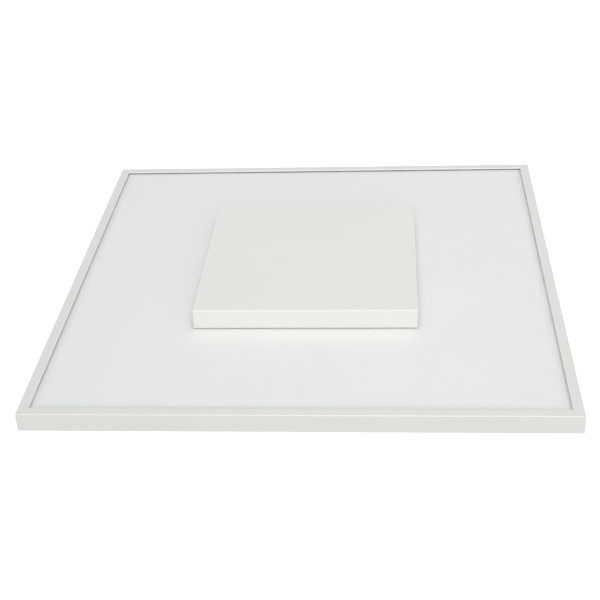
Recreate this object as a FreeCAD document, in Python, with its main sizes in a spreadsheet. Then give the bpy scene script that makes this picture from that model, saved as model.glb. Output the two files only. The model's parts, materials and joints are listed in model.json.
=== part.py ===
"""Surface-mounted square LED panel light with a central driver cover.

The frame of reference is the centre of the flat back face: +Z is the direction the light
shines, -Y is the front rail.  All lengths are millimetres and all angles are degrees.
"""
import FreeCAD, Part
import math
import os
import re
import Sketcher
from FreeCAD import Placement, Rotation, Vector

os.makedirs("parts", exist_ok=True)
doc = FreeCAD.newDocument("PanelLight")

# ---------------------------------------------------------------- driving dimensions
DIMENSIONS = {
    # mitred extruded frame
    "frame_width": 595, "frame_height": 22, "lip_width": 12, "wall": 1.4,
    "frame_edge_radius": 1.0, "lip_edge_radius": 1.0, "foot_edge_radius": 0.5,
    "flange_width": 11, "rib_width": 9.4, "rib_thick": 1.0, "rib_top": 7.4,
    "ledge_width": 9, "ledge_top": 17.2, "mitre_gap": 0.08, "mitre_reach": 20,
    # corner keys and frame screws
    "key_leg": 45, "key_width": 7.2, "key_inset": 1.7, "key_bottom": 4.3, "key_thick": 2.0,
    "screw_inset": 6, "corner_screw": 25, "middle_screw": 100,
    "screw_hole": 3.6, "screw_shank": 3.4, "screw_head": 6, "screw_head_bottom": 0.2, "screw_tip": 6.2,
    "recess_span": 3.4, "recess_width": 0.9, "recess_depth": 1.0,
    # pressed steel back tray
    "sheet": 0.8, "joggle": 2.0, "tray_clearance": 0.3, "pan_inset": 12.5,
    "bead_width": 16, "bead_rise": 1.2, "bead_column": 207.5,
    "ceiling_spacing": 190, "ceiling_hole": 5.5,
    # light engine
    "led_pitch": 83, "strip_width": 20, "strip_end": 270, "strip_start": 140,
    "tape_width": 16, "tape_thick": 0.2, "strip_thick": 1.0,
    "lens_radius": 9, "lens_height": 7.2, "lens_round": 5.5, "lens_cavity_radius": 3.6,
    "lens_cavity_depth": 3.2, "lens_cavity_round": 2.4,
    "chip_length": 3.5, "chip_width": 2.8, "chip_height": 0.7,
    "connector_y": 263, "connector_length": 9, "connector_depth": 7, "connector_height": 3.2,
    "feed_y": 41.5, "wire_height": 3.6, "wire_offset": 1.6, "wire_end_gap": 0.05,
    # reflector
    "film": 0.6, "reflector_base": 5.6, "reflector_foot": 268, "reflector_rim": 284,
    "reflector_edge": 294, "reflector_slope": 54.1, "skin_lift": 0.75,
    "island_foot": 144, "island_rim": 135, "island_top": 16.2, "island_hole": 126, "island_slope": 40.33,
    "lens_window": 10.5,
    # diffuser and its support posts
    "diffuser_bottom": 17.8, "diffuser_thick": 2.0, "diffuser_clearance": 0.8, "diffuser_hole": 127,
    "diffuser_flange": 0.8, "shadow_gap": 1.5, "diffuser_edge_radius": 0.5,
    "post_row": 245, "post_column": 41.5,
    # driver bay
    "bay_half": 125, "bay_foot": 112, "bay_flange": 134,
    "stud_line": 118, "stud_side": 70, "stud_radius": 1.95, "stud_height": 6.7,
    "nut_across": 7, "nut_height": 4.0, "nut_flange": 4.3, "nut_flange_thick": 1.0,
    "bush_y": 41.5, "bush_z": 8.9, "bush_hole": 6,
    # driver cover
    "cover_half": 130.5, "cover_top": 44.5, "cover_bottom": 20.8, "cover_sheet": 1.0, "cover_radius": 1.6,
    "tab_outer": 120.5, "tab_thick": 0.8, "tab_foot": 10.5, "tab_bottom": 6, "tab_half_width": 12,
    # driver
    "driver_y": 45, "driver_half_length": 75, "driver_half_width": 22, "driver_top": 29,
    "driver_tab": 92, "driver_stud": 84, "board_bottom": 5.0, "board_thick": 1.6,
    "board_half_length": 72, "board_half_width": 18.5,
    "base_wall_top": 14, "lid_bottom": 1.8, "case_screw_x": 60, "case_screw_z": 9.6,
    "window_half_width": 12, "window_bottom": 6.4, "window_top": 19.5,
    "choke_radius": 7, "choke_section": 3.5,
    "terminal_depth": 12, "terminal_half_width": 10, "terminal_height": 12,
    # mains terminal block and cord clamp
    "block_x": -10, "block_y": -62, "block_half_length": 12, "block_half_width": 16, "block_top": 18.8,
    "pole_pitch": 10, "button_x": -4, "button_length": 5, "button_width": 6, "button_top": 21,
    "button_bottom": 13.5, "button_gap": 0.3, "button_well": 11.8,
    "base_plate_top": 2.8, "base_plate_end": 36, "block_stud_x": 11, "block_stud_offset": 12,
    "clamp_x": 25, "clamp_screw_offset": 13, "pillar_radius": 4, "pillar_top": 9,
    "clamp_bar_thick": 2.5, "clamp_bar_half_width": 5,
    # cable grommet and earth point
    "grommet_x": 60, "grommet_hole": 11, "grommet_radius": 13.5, "grommet_bore": 5.5,
    "grommet_pad": 18, "grommet_top": 5.0, "earth_x": -60, "earth_y": -15,
}

sheet = doc.addObject("Spreadsheet::Sheet", "Sizes")
for row, (alias, value) in enumerate(DIMENSIONS.items(), start=1):
    sheet.set(f"A{row}", alias)
    sheet.set(f"B{row}", str(value))
    sheet.setAlias(f"B{row}", alias)
doc.recompute()


def size(alias):
    """Number held by one cell of the sheet."""
    return float(sheet.get(alias))


def bound(formula):
    """Formula over the sheet's aliases, as an expression that FreeCAD can follow."""
    return re.sub(r"([a-z][a-z_]+)", r"Sizes.\1", str(formula))


# ---------------------------------------------------------------- sketch and feature helpers
def new_body(name):
    body = doc.addObject("PartDesign::Body", name)
    body.Label = name
    return body


def new_sketch(body, name, offset=0, plane="XY_Plane"):
    """Empty sketch on one of the body's own origin planes, moved along the plane's normal."""
    sketch = body.newObject("Sketcher::SketchObject", f"{body.Name}_{name}")
    support = [feature for feature in body.Origin.OriginFeatures if feature.Role == plane][0]
    sketch.AttachmentSupport = [(support, "")]
    sketch.MapMode = "FlatFace"
    sketch.setExpression("AttachmentOffset.Base.z", bound(offset))
    return sketch


def place_point(sketch, geometry, vertex, point, formulas):
    """Fix one vertex of a sketch at two coordinates given as formulas."""
    for kind, start, formula in zip(("DistanceX", "DistanceY"), point, formulas):
        index = sketch.addConstraint(Sketcher.Constraint(kind, geometry, vertex, start))
        sketch.setExpression(f"Constraints[{index}]", bound(formula))


def polygon(sketch, corners):
    """Closed outline through corners, each a pair of formulas."""
    count = len(corners)
    turn = 2 * math.pi / count
    start = [Vector(math.cos(turn * step), math.sin(turn * step), 0) for step in range(count)]
    sides = [Part.LineSegment(start[step], start[(step + 1) % count]) for step in range(count)]
    first = sketch.addGeometry(sides, False)[0]
    for step in range(count):
        following = first + (step + 1) % count
        sketch.addConstraint(Sketcher.Constraint("Coincident", first + step, 2, following, 1))
    for step, formulas in enumerate(corners):
        place_point(sketch, first + step, 1, (start[step].x, start[step].y), formulas)


def rectangle(sketch, left, bottom, right, top):
    polygon(sketch, [(left, bottom), (right, bottom), (right, top), (left, top)])


def centred_rectangle(sketch, centre_x, centre_y, length, width):
    rectangle(sketch, f"{centre_x} - ({length}) / 2", f"{centre_y} - ({width}) / 2",
              f"{centre_x} + ({length}) / 2", f"{centre_y} + ({width}) / 2")


def square(sketch, half):
    rectangle(sketch, f"-({half})", f"-({half})", half, half)


def circle(sketch, centre_x, centre_y, radius):
    index = sketch.addGeometry(Part.Circle(Vector(0, 0, 0), Vector(0, 0, 1), 1), False)
    place_point(sketch, index, 3, (0, 0), (centre_x, centre_y))
    constraint = sketch.addConstraint(Sketcher.Constraint("Radius", index, 1))
    sketch.setExpression(f"Constraints[{constraint}]", bound(radius))


def cross(sketch, centre_x, centre_y, span, width):
    """Cross-shaped screw recess."""
    far, near = f"({span}) / 2", f"({width}) / 2"
    outline = [(near, far), (near, near), (far, near), (far, f"-{near}"), (near, f"-{near}"),
               (near, f"-{far}"), (f"-{near}", f"-{far}"), (f"-{near}", f"-{near}"), (f"-{far}", f"-{near}"),
               (f"-{far}", near), (f"-{near}", near), (f"-{near}", far)]
    polygon(sketch, [(f"{centre_x} + ({across})", f"{centre_y} + ({along})") for across, along in outline])


def add_feature(body, kind, name, sketch, length, reverse=False, taper=0, symmetric=False):
    feature = body.newObject(f"PartDesign::{kind}", f"{body.Name}_{name}")
    feature.Profile = sketch
    feature.setExpression("Length", bound(length))
    feature.Reversed = reverse
    if symmetric:
        feature.SideType = "Symmetric"
    if taper:
        feature.setExpression("TaperAngle", bound(taper))
    sketch.Visibility = False
    return feature


def pad(body, name, sketch, length, **options):
    return add_feature(body, "Pad", name, sketch, length, **options)


def pocket(body, name, sketch, length, **options):
    """Cut downwards from the sketch, or upwards when reversed; it must remove material."""
    doc.recompute()
    before = body.Shape.Volume
    feature = add_feature(body, "Pocket", name, sketch, length, **options)
    doc.recompute()
    if before - body.Shape.Volume < 1e-3:
        raise RuntimeError(f"{feature.Name} cuts nothing")
    return feature


def round_edges(body, name, radius, wanted):
    """Fillet every edge of the body that the test accepts."""
    doc.recompute()
    tip = body.Tip
    names = [f"Edge{number}" for number, edge in enumerate(tip.Shape.Edges, start=1) if wanted(edge)]
    if not names:
        raise RuntimeError(f"{body.Name}: no edge for {name}")
    feature = body.newObject("PartDesign::Fillet", f"{body.Name}_{name}")
    feature.Base = (tip, names)
    feature.setExpression("Radius", bound(radius))
    return feature


def origin_axis(body, role):
    return [feature for feature in body.Origin.OriginFeatures if feature.Role == role][0]


def quarter_turns(body, name, originals):
    """Repeat features at four quarter turns about Z."""
    pattern = body.newObject("PartDesign::PolarPattern", f"{body.Name}_{name}")
    pattern.Originals = originals
    pattern.Axis = (origin_axis(body, "Z_Axis"), [""])
    pattern.Angle = 360
    pattern.Occurrences = 4
    body.Tip = pattern
    return pattern


def line_of(body, name, originals, role, length, count):
    """Repeat features in a straight row along one axis."""
    pattern = body.newObject("PartDesign::LinearPattern", f"{body.Name}_{name}")
    pattern.Originals = originals
    pattern.Direction = (origin_axis(body, role), [""])
    pattern.setExpression("Length", bound(length))
    pattern.Occurrences = count
    body.Tip = pattern
    return pattern


def on_level(height):
    """Test for edges that lie wholly at one height."""
    return lambda edge: all(abs(vertex.Z - height) < 1e-4 for vertex in edge.Vertexes)


def lies_along(edge, depth, height):
    """Whether an edge runs along X at one Y and one Z."""
    return all(abs(vertex.Y - depth) < 1e-4 and abs(vertex.Z - height) < 1e-4 for vertex in edge.Vertexes)


def solid_feature(name, shape, placement=Placement()):
    """Sub-part whose shape is worked out directly from the sheet's sizes."""
    feature = doc.addObject("Part::Feature", name)
    feature.Label = name
    feature.Shape = shape
    feature.Placement = placement
    return feature


PARTS = []
SIDES = {"front": 0, "right": 90, "back": 180, "left": 270}
QUARTER = {side: Placement(Vector(), Rotation(Vector(0, 0, 1), angle)) for side, angle in SIDES.items()}
SIGNS = ("-1", "1")
COLUMNS = range(-3, 4)
OUTER_ROWS = (-3, -2, 2, 3)
MIDDLE_ROWS = (-1, 0, 1)
LED_POINTS = [(column, row) for column in COLUMNS for row in OUTER_ROWS]
LED_POINTS += [(column, row) for column in OUTER_ROWS for row in MIDDLE_ROWS]
STRIP_BOTTOM = "sheet + tape_thick"
STRIP_TOP = "sheet + tape_thick + strip_thick"
FRAME_SCREWS = [f"{sign} * (frame_width / 2 - corner_screw)" for sign in SIGNS]
FRAME_SCREWS += [f"{sign} * middle_screw" for sign in SIGNS]
SCREW_LINE = "screw_inset - frame_width / 2"


# ---------------------------------------------------------------- mitred frame
def frame_rail(side):
    """Extruded rail: outer wall, front lip, diffuser ledge, key channel and screw flange."""
    rail = new_body(f"frame_rail_{side}")
    profile = new_sketch(rail, "profile", plane="YZ_Plane")
    flange_bottom = "joggle + sheet"
    flange_top = "joggle + sheet + wall"
    outline = [
        ("0", "0"), ("0", "frame_height"),
        ("lip_width", "frame_height"), ("lip_width", "frame_height - wall"),
        ("wall", "frame_height - wall"), ("wall", "ledge_top"), ("ledge_width", "ledge_top"),
        ("ledge_width", "ledge_top - rib_thick"), ("wall", "ledge_top - rib_thick"),
        ("wall", "rib_top"), ("rib_width", "rib_top"), ("rib_width", "rib_top - rib_thick"),
        ("wall", "rib_top - rib_thick"), ("wall", flange_top), ("flange_width", flange_top),
        ("flange_width", flange_bottom), ("wall", flange_bottom), ("wall", "0"),
    ]
    polygon(profile, [(f"{depth} - frame_width / 2", height) for depth, height in outline])
    pad(rail, "bar", profile, "frame_width", symmetric=True)
    front, top = -size("frame_width") / 2, size("frame_height")
    inner = front + size("lip_width")
    round_edges(rail, "outer_edge", "frame_edge_radius", lambda edge: lies_along(edge, front, top))
    round_edges(rail, "lip_edge", "lip_edge_radius", lambda edge: lies_along(edge, inner, top))
    round_edges(rail, "foot_edge", "foot_edge_radius", lambda edge: lies_along(edge, front, 0))
    mitres = new_sketch(rail, "mitres", "frame_height + 1")
    for sign in SIGNS:
        cut = [("-mitre_gap + 1", "-1"), ("1", "-1"), ("1", "mitre_reach"),
               ("-mitre_gap - mitre_reach", "mitre_reach")]
        polygon(mitres, [(f"{sign} * (frame_width / 2 + {along})", f"{depth} - frame_width / 2")
                         for along, depth in cut])
    pocket(rail, "mitre_cuts", mitres, "frame_height + 2")
    holes = new_sketch(rail, "screw_holes", flange_top)
    for along in FRAME_SCREWS:
        circle(holes, along, SCREW_LINE, "screw_hole / 2")
    pocket(rail, "screw_holes_cut", holes, "wall")
    rail.Placement = QUARTER[side]
    PARTS.append(rail)


def corner_key(name, side):
    """Steel angle that joins two mitred rails inside their key channels."""
    key = new_body(name)
    outline = new_sketch(key, "outline", "key_bottom")
    start, inside, end = "key_inset", "(key_inset + key_width)", "(key_inset + key_leg)"
    corners = [(start, start), (end, start), (end, inside), (inside, inside), (inside, end), (start, end)]
    polygon(outline, [(f"{along} - frame_width / 2", f"{depth} - frame_width / 2")
                      for along, depth in corners])
    pad(key, "plate", outline, "key_thick")
    holes = new_sketch(key, "holes", "key_bottom + key_thick")
    circle(holes, "corner_screw - frame_width / 2", SCREW_LINE, "screw_hole / 2")
    circle(holes, SCREW_LINE, "corner_screw - frame_width / 2", "screw_hole / 2")
    pocket(key, "holes_cut", holes, "key_thick")
    key.Placement = QUARTER[side]
    PARTS.append(key)


def frame_screws():
    """Sixteen cross-head screws through the tray rim into the rails and keys."""
    screws = new_body("frame_screws")
    heads = new_sketch(screws, "heads", "joggle")
    shanks = new_sketch(screws, "shanks", "joggle")
    recesses = new_sketch(screws, "recesses", "screw_head_bottom")
    for along in FRAME_SCREWS:
        circle(heads, along, SCREW_LINE, "screw_head / 2")
        circle(shanks, along, SCREW_LINE, "screw_shank / 2")
        cross(recesses, along, SCREW_LINE, "recess_span", "recess_width")
    head_pads = pad(screws, "head_pads", heads, "joggle - screw_head_bottom", reverse=True, taper=-20)
    shank_pads = pad(screws, "shank_pads", shanks, "screw_tip - joggle")
    recess_cuts = pocket(screws, "recess_cuts", recesses, "recess_depth", reverse=True)
    quarter_turns(screws, "four_sides", [head_pads, shank_pads, recess_cuts])
    PARTS.append(screws)


# ---------------------------------------------------------------- back tray
POSTS = [(f"{across} * bead_column", f"{along} * post_row") for across in SIGNS for along in ("-1", "0", "1")]
POSTS += [(f"{across} * post_column", f"{along} * post_row") for across in SIGNS for along in SIGNS]


def bead_lines():
    """Centre lines of the pressed stiffening beads, which all run along Y."""
    lines = []
    for along in SIGNS:
        for across in SIGNS:
            lines.append((f"{across} * bead_column", f"{along} * 22", f"{along} * 212"))
            lines.append((f"{across} * 1.5 * led_pitch", f"{along} * 150", f"{along} * 236"))
            lines.append((f"{across} * post_column", f"{along} * 150", f"{along} * 220"))
    return lines


def press_beads(tray, name, half_width, level, length, make, reverse):
    """Straight part and rounded ends of every bead, as two features."""
    runs = new_sketch(tray, f"{name}_runs", level)
    ends = new_sketch(tray, f"{name}_ends", level)
    for centre, near, far in bead_lines():
        rectangle(runs, f"{centre} - ({half_width})", near, f"{centre} + ({half_width})", far)
        circle(ends, centre, near, half_width)
        circle(ends, centre, far, half_width)
    for centre_x, centre_y in POSTS:
        circle(ends, centre_x, centre_y, half_width)
    make(tray, f"{name}_run_press", runs, length, reverse=reverse)
    make(tray, f"{name}_end_press", ends, length, reverse=reverse)


def back_tray():
    """Pressed steel back: joggled rim, stiffening beads, post seats and the ceiling holes."""
    tray = new_body("back_tray")
    rim = new_sketch(tray, "rim", "joggle")
    square(rim, "frame_width / 2 - wall - tray_clearance")
    pad(tray, "rim_plate", rim, "sheet")
    pan = new_sketch(tray, "pan")
    square(pan, "frame_width / 2 - pan_inset")
    pad(tray, "pan_block", pan, "joggle + sheet")
    inside = new_sketch(tray, "pan_inside", "joggle + sheet")
    square(inside, "frame_width / 2 - pan_inset - sheet")
    pocket(tray, "pan_hollow", inside, "joggle")
    press_beads(tray, "bead_tops", "bead_width / 2", "sheet", "bead_rise", pad, False)
    press_beads(tray, "bead_undersides", "bead_width / 2 - sheet", "0", "bead_rise", pocket, True)
    pad_top = new_sketch(tray, "grommet_pad", "sheet")
    circle(pad_top, "grommet_x", "block_y", "grommet_pad")
    pad(tray, "grommet_pad_top", pad_top, "joggle")
    pad_under = new_sketch(tray, "grommet_pad_under")
    circle(pad_under, "grommet_x", "block_y", "grommet_pad - sheet")
    pocket(tray, "grommet_pad_hollow", pad_under, "joggle", reverse=True)
    holes = new_sketch(tray, "holes", "joggle + sheet")
    circle(holes, "grommet_x", "block_y", "grommet_hole")
    for across in SIGNS:
        for along in SIGNS:
            circle(holes, f"{across} * ceiling_spacing / 2", f"{along} * ceiling_spacing / 2",
                   "ceiling_hole / 2")
    for centre_x, centre_y in POSTS:
        circle(holes, centre_x, centre_y, "2.5")
    pocket(tray, "holes_cut", holes, "joggle + sheet")
    rim_holes = new_sketch(tray, "rim_holes", "joggle + sheet")
    for along in FRAME_SCREWS:
        circle(rim_holes, along, SCREW_LINE, "screw_hole / 2 + 0.2")
    rim_cut = pocket(tray, "rim_holes_cut", rim_holes, "sheet")
    quarter_turns(tray, "rim_holes_round", [rim_cut])
    PARTS.append(tray)


# ---------------------------------------------------------------- light engine
def led_strip(name, column, first, last):
    """One aluminium-core board that runs along Y between two ends."""
    strip = new_body(name)
    outline = new_sketch(strip, "outline", STRIP_BOTTOM)
    centre = f"{column} * led_pitch"
    rectangle(outline, f"{centre} - strip_width / 2", first, f"{centre} + strip_width / 2", last)
    pad(strip, "board", outline, "strip_thick")
    notches = new_sketch(strip, "notches", STRIP_TOP)
    for edge in SIGNS:
        circle(notches, f"{centre} + {edge} * strip_width / 2", f"({first} + {last}) / 2 + led_pitch / 2",
               "1.6")
    pocket(strip, "notch_cuts", notches, "strip_thick")
    PARTS.append(strip)


STRIPS = {
    "led_strip_left_outer": (-3, "-strip_end", "strip_end"),
    "led_strip_left_inner": (-2, "-strip_end", "strip_end"),
    "led_strip_right_inner": (2, "-strip_end", "strip_end"),
    "led_strip_right_outer": (3, "-strip_end", "strip_end"),
    "led_strip_front_left": (-1, "-strip_end", "-strip_start"),
    "led_strip_front_middle": (0, "-strip_end", "-strip_start"),
    "led_strip_front_right": (1, "-strip_end", "-strip_start"),
    "led_strip_back_left": (-1, "strip_start", "strip_end"),
    "led_strip_back_middle": (0, "strip_start", "strip_end"),
    "led_strip_back_right": (1, "strip_start", "strip_end"),
}


def strip_tapes():
    """Thermal tape that holds each strip on the tray."""
    tapes = new_body("strip_tapes")
    outline = new_sketch(tapes, "outlines", "sheet")
    for column, first, last in STRIPS.values():
        rectangle(outline, f"{column} * led_pitch - tape_width / 2", f"{first} + 2",
                  f"{column} * led_pitch + tape_width / 2", f"{last} - 2")
    pad(tapes, "layer", outline, "tape_thick")
    PARTS.append(tapes)


def led_lenses():
    """Moulded dome lens over every light-emitting chip."""
    lenses = new_body("led_lenses")
    outlines = new_sketch(lenses, "outlines", STRIP_TOP)
    cavities = new_sketch(lenses, "cavities", STRIP_TOP)
    for column, row in LED_POINTS:
        circle(outlines, f"{column} * led_pitch", f"{row} * led_pitch", "lens_radius")
        circle(cavities, f"{column} * led_pitch", f"{row} * led_pitch", "lens_cavity_radius")
    pad(lenses, "drums", outlines, "lens_height")
    strip_top = size("sheet") + size("tape_thick") + size("strip_thick")
    round_edges(lenses, "domes", "lens_round", on_level(strip_top + size("lens_height")))
    pocket(lenses, "cavity_cuts", cavities, "lens_cavity_depth", reverse=True)
    round_edges(lenses, "cavity_domes", "lens_cavity_round", on_level(strip_top + size("lens_cavity_depth")))
    PARTS.append(lenses)


def led_chips():
    """Forty surface-mounted chips on a square grid with its centre left out."""
    chips = new_body("led_chips")
    rows = new_sketch(chips, "rows", STRIP_TOP)
    for row in OUTER_ROWS:
        centred_rectangle(rows, "-3 * led_pitch", f"{row} * led_pitch", "chip_length", "chip_width")
    row_pads = pad(chips, "row_pads", rows, "chip_height")
    line_of(chips, "row_line", [row_pads], "X_Axis", "6 * led_pitch", 7)
    columns = new_sketch(chips, "columns", STRIP_TOP)
    for column in OUTER_ROWS:
        centred_rectangle(columns, f"{column} * led_pitch", "-led_pitch", "chip_length", "chip_width")
    column_pads = pad(chips, "column_pads", columns, "chip_height")
    line_of(chips, "column_line", [column_pads], "Y_Axis", "2 * led_pitch", 3)
    PARTS.append(chips)


def strip_connectors():
    """Push-in wire connectors at the strips' outer ends, and one that feeds the row."""
    connectors = new_body("strip_connectors")
    outline = new_sketch(connectors, "outlines", STRIP_TOP)
    for side in SIGNS:
        centred_rectangle(outline, "-3 * led_pitch", f"{side} * connector_y",
                          "connector_length", "connector_depth")
    blocks = pad(connectors, "blocks", outline, "connector_height")
    line_of(connectors, "row", [blocks], "X_Axis", "6 * led_pitch", 7)
    feed = new_sketch(connectors, "feed", STRIP_TOP)
    centred_rectangle(feed, "2 * led_pitch", "feed_y", "connector_length", "connector_depth")
    pad(connectors, "feed_block", feed, "connector_height")
    PARTS.append(connectors)


# ---------------------------------------------------------------- reflector, posts and diffuser
def reflector():
    """White reflector sheet with sloping sides, a raised centre and a window for every lens."""
    film = new_body("reflector")
    outer = new_sketch(film, "outer", "reflector_base")
    square(outer, "reflector_foot")
    pad(film, "outer_block", outer, "ledge_top - reflector_base", taper="reflector_slope")
    edge = new_sketch(film, "edge", "ledge_top")
    square(edge, "reflector_edge")
    pad(film, "edge_plate", edge, "film")
    inner = new_sketch(film, "inner", "ledge_top + film")
    square(inner, "reflector_rim - 0.2")
    pocket(film, "outer_hollow", inner, "ledge_top - reflector_base", taper="-reflector_slope")
    island = new_sketch(film, "island", "reflector_base")
    square(island, "island_foot")
    pad(film, "island_block", island, "island_top - reflector_base", taper="-island_slope")
    cap = new_sketch(film, "island_cap", "island_top")
    square(cap, "island_rim")
    pad(film, "island_cap_plate", cap, "film")
    hollow = new_sketch(film, "island_hollow", "reflector_base")
    square(hollow, "island_foot - skin_lift")
    pocket(film, "island_hollow_cut", hollow, "island_top - reflector_base", reverse=True,
           taper="-island_slope")
    opening = new_sketch(film, "opening", "island_top + film")
    square(opening, "island_hole")
    pocket(film, "opening_cut", opening, "island_top")
    windows = new_sketch(film, "lens_windows", "reflector_base + film")
    for column, row in LED_POINTS:
        circle(windows, f"{column} * led_pitch", f"{row} * led_pitch", "lens_window")
    for centre_x, centre_y in POSTS:
        circle(windows, centre_x, centre_y, "3.4")
    pocket(film, "lens_windows_cut", windows, "film")
    PARTS.append(film)


def support_posts():
    """Snap-in posts that hold the reflector down and keep the diffuser from sagging."""
    posts = new_body("support_posts")
    seat = "sheet + bead_rise"
    feet = new_sketch(posts, "feet", seat)
    shoulders = new_sketch(posts, "shoulders", seat)
    columns = new_sketch(posts, "columns", "reflector_base")
    stems = new_sketch(posts, "stems", "0.3")
    barbs = new_sketch(posts, "barbs", "0.3")
    for centre_x, centre_y in POSTS:
        circle(feet, centre_x, centre_y, "6")
        circle(shoulders, centre_x, centre_y, "4.5")
        circle(columns, centre_x, centre_y, "3")
        circle(stems, centre_x, centre_y, "2.3")
        circle(barbs, centre_x, centre_y, "2.8")
    pad(posts, "foot_pads", feet, "1.0")
    pad(posts, "shoulder_pads", shoulders, f"reflector_base - ({seat})")
    pad(posts, "column_pads", columns, "diffuser_bottom - 0.2 - reflector_base", taper=-6)
    pad(posts, "stem_pads", stems, f"{seat} - 0.3")
    pad(posts, "barb_pads", barbs, "0.8")
    PARTS.append(posts)


def diffuser():
    """Opal plate with a square hole for the driver bay.

    Its rebated edge slips under the frame's lip, and its face stops short of the lip, which
    leaves a shadow gap all round.
    """
    plate = new_body("diffuser")
    face_half = "frame_width / 2 - lip_width - shadow_gap"
    face = new_sketch(plate, "face", "diffuser_bottom")
    square(face, face_half)
    pad(plate, "plate", face, "diffuser_thick")
    top = size("diffuser_bottom") + size("diffuser_thick")
    round_edges(plate, "face_edges", "diffuser_edge_radius", on_level(top))
    flange = new_sketch(plate, "flange", "diffuser_bottom")
    square(flange, "frame_width / 2 - wall - diffuser_clearance")
    square(flange, face_half)
    pad(plate, "rebated_flange", flange, "diffuser_flange")
    bay = new_sketch(plate, "bay", "diffuser_bottom")
    square(bay, "diffuser_hole")
    pocket(plate, "bay_opening", bay, "diffuser_thick", reverse=True)
    PARTS.append(plate)


# ---------------------------------------------------------------- driver bay
BAY_STUDS = [(f"{across} * stud_line", f"{along} * stud_side") for across in SIGNS for along in SIGNS]
BAY_STUDS += [(f"{across} * stud_side", f"{along} * stud_line") for across in SIGNS for along in SIGNS]
STUDS = BAY_STUDS + [(f"{across} * driver_stud", "driver_y") for across in SIGNS]
STUDS += [("block_stud_x", f"block_y + {along} * block_stud_offset") for along in SIGNS]
STUDS += [("earth_x", "earth_y")]


def bay_wall():
    """Folded square wall round the driver bay: foot flange, top flange and a wire hole."""
    wall = new_body("bay_wall")
    upright = new_sketch(wall, "upright", "sheet")
    square(upright, "bay_half")
    square(upright, "bay_half - sheet")
    pad(wall, "upright_pad", upright, "diffuser_bottom - sheet")
    foot = new_sketch(wall, "foot", "sheet")
    square(foot, "bay_half - sheet")
    square(foot, "bay_foot")
    for centre_x, centre_y in BAY_STUDS:
        circle(foot, centre_x, centre_y, "2.2")
    pad(wall, "foot_flange", foot, "sheet")
    flange = new_sketch(wall, "flange", "diffuser_bottom - sheet")
    square(flange, "bay_flange")
    square(flange, "bay_half")
    pad(wall, "top_flange", flange, "sheet")
    hole = new_sketch(wall, "wire_hole", "bay_half", plane="YZ_Plane")
    circle(hole, "bush_y", "bush_z", "bush_hole")
    pocket(wall, "wire_hole_cut", hole, "sheet")
    PARTS.append(wall)


def weld_studs():
    studs = new_body("weld_studs")
    outline = new_sketch(studs, "outlines", "sheet")
    for centre_x, centre_y in STUDS:
        circle(outline, centre_x, centre_y, "stud_radius")
    pad(studs, "shanks", outline, "stud_height")
    doc.recompute()
    round_edges(studs, "tips", "0.5", on_level(size("sheet") + size("stud_height")))
    PARTS.append(studs)


def stud_nuts():
    """Flange nuts on every stud."""
    nuts = new_body("stud_nuts")
    flanges = new_sketch(nuts, "flanges", "2 * sheet")
    hexes = new_sketch(nuts, "hexes", "2 * sheet")
    bores = new_sketch(nuts, "bores", "2 * sheet + nut_height")
    for centre_x, centre_y in STUDS:
        circle(flanges, centre_x, centre_y, "nut_flange")
        corners = []
        for step in range(6):
            reach_x = round(math.cos(math.radians(60 * step)) / math.sqrt(3), 6)
            reach_y = round(math.sin(math.radians(60 * step)) / math.sqrt(3), 6)
            corners.append((f"{centre_x} + {reach_x} * nut_across", f"{centre_y} + {reach_y} * nut_across"))
        polygon(hexes, corners)
        circle(bores, centre_x, centre_y, "stud_radius + 0.15")
    pad(nuts, "flange_pads", flanges, "nut_flange_thick")
    pad(nuts, "hex_pads", hexes, "nut_height")
    pocket(nuts, "bore_cuts", bores, "nut_height")
    PARTS.append(nuts)


def ring_of_revolution(name, points, axis_point, axis):
    """Turned ring from an outline of (radius, height) points about an axis."""
    outline = Part.makePolygon([Vector(radius, 0, height) for radius, height in points + points[:1]])
    ring = Part.Face(outline).revolve(Vector(0, 0, 0), Vector(0, 0, 1), 360)
    turn = Rotation(Vector(0, 0, 1), axis)
    return solid_feature(name, ring, Placement(axis_point, turn))


def cable_grommet():
    """Soft grommet in the raised pad of the tray, where the supply cord comes in."""
    low, seat = 0.3, size("joggle")
    groove = size("grommet_hole") - 0.1
    top, bore, rim = size("grommet_top"), size("grommet_bore"), size("grommet_radius")
    outline = [(bore, low), (rim - 0.6, low), (rim, low + 0.6), (rim, seat - 0.05), (groove, seat - 0.05),
               (groove, seat + size("sheet") + 0.05), (rim, seat + size("sheet") + 0.05),
               (rim - 0.8, top - 0.4), (rim - 2.4, top), (bore, top)]
    centre = Vector(size("grommet_x"), size("block_y"), 0)
    PARTS.append(ring_of_revolution("cable_grommet", outline, centre, Vector(0, 0, 1)))


def wire_bush():
    """Small bush that guards the low-voltage wires in the bay wall."""
    groove, half = size("bush_hole") - 0.1, size("sheet") / 2 + 0.05
    bore, rim, reach = 3.8, size("bush_hole") + 1.2, size("sheet") / 2 + 1.4
    outline = [(bore, -reach), (rim - 0.5, -reach), (rim, -reach + 0.5), (rim, -half), (groove, -half),
               (groove, half), (rim, half), (rim, reach - 0.5), (rim - 0.5, reach), (bore, reach)]
    centre = Vector(size("bay_half") - size("sheet") / 2, size("bush_y"), size("bush_z"))
    PARTS.append(ring_of_revolution("wire_bush", outline, centre, Vector(1, 0, 0)))


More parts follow.
